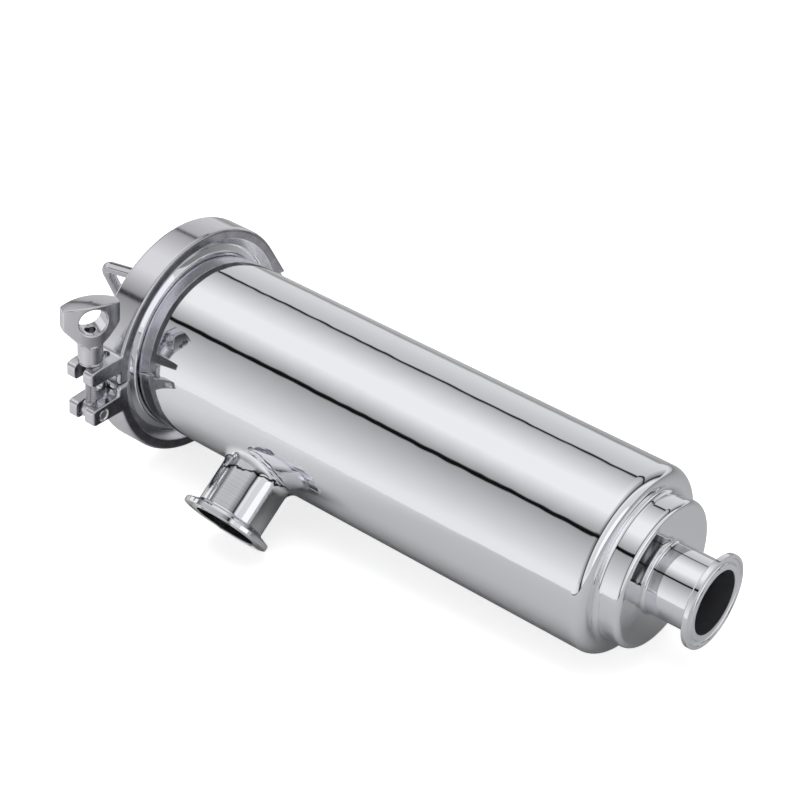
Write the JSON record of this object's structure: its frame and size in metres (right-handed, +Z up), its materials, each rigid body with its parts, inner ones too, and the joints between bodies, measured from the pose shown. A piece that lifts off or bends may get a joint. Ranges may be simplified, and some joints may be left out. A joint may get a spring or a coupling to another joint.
{
  "type": "sanitary angle filter",
  "caption": "Stainless side entry filter housing: tube body with a side port and a stepped outlet end, hinged wing nut clamp, handled cover and a mesh element inside.",
  "frame": {"origin": "centre of the outlet ferrule's sealing face", "axes": "+X out of the outlet along the body; +Z up with the filter lying on its clamp, its inlet rim and its end cap's shoulder; the inlet points to -Y and slopes down"},
  "size_m": [0.398, 0.161, 0.1338],
  "materials": {
    "polished_shell": "mirror polished stainless steel",
    "polished_rod": "polished stainless rod",
    "cast_clamp": "fine satin cast stainless steel",
    "pin_steel": "turned stainless steel",
    "bolt_steel": "turned stainless steel",
    "element_steel": "satin stainless steel",
    "mesh_steel": "woven stainless wire",
    "gasket_rubber": "white silicone rubber"
  },
  "bodies": {
    "shell": {"body_tube": "polished_shell", "body_ferrule": "polished_shell", "end_cap": "polished_shell", "outlet_ferrule": "polished_shell", "inlet_ferrule": "polished_shell", "cover": "polished_shell", "cover_handle": "polished_rod", "cover_gasket": "gasket_rubber", "clamp_lower_half": "cast_clamp", "clamp_hinge_pin": "pin_steel", "swing_bolt_pin": "pin_steel", "element_tube": "element_steel", "element_mesh": "mesh_steel", "element_seat": "element_steel", "element_seal_rings": "gasket_rubber", "element_end_plug": "element_steel", "element_pull": "polished_rod", "mesh_band_outlet_end": "element_steel", "mesh_band_cover_end": "element_steel"},
    "upper": {"clamp_upper_half": "cast_clamp"},
    "bolt": {"swing_bolt": "bolt_steel"},
    "washer": {"nut_washer": "bolt_steel"},
    "nut": {"wing_nut": "cast_clamp"}
  },
  "joints": [
    {"name": "bolt_swing", "type": "hinge", "parent": "shell", "child": "bolt", "pos_m": [-0.3421, -0.07791, 0.0017], "axis": [1, 0, 0], "range_deg": [0, 100]},
    {"name": "nut_travel", "type": "slide", "parent": "bolt", "child": "washer", "axis": [0, 0.1755, 0.9845], "range_m": [0, 0.0061]},
    {"name": "nut_turn", "type": "hinge", "parent": "washer", "child": "nut", "pos_m": [-0.3421, -0.0727, 0.03094], "axis": [0, 0.1755, 0.9845], "range_deg": [0, 2160]},
    {"name": "clamp_open", "type": "hinge", "parent": "shell", "child": "upper", "pos_m": [-0.3421, 0.06842, -0.01219], "axis": [-1, 0, 0], "range_deg": [0, 2.2]}
  ],
  "couplings": [
    {"joint": "nut_travel", "follows": "nut_turn", "m_per_rad": 0.00015915},
    {"joint": "clamp_open", "follows": "nut_turn", "ratio": 0.00097774}
  ]
}
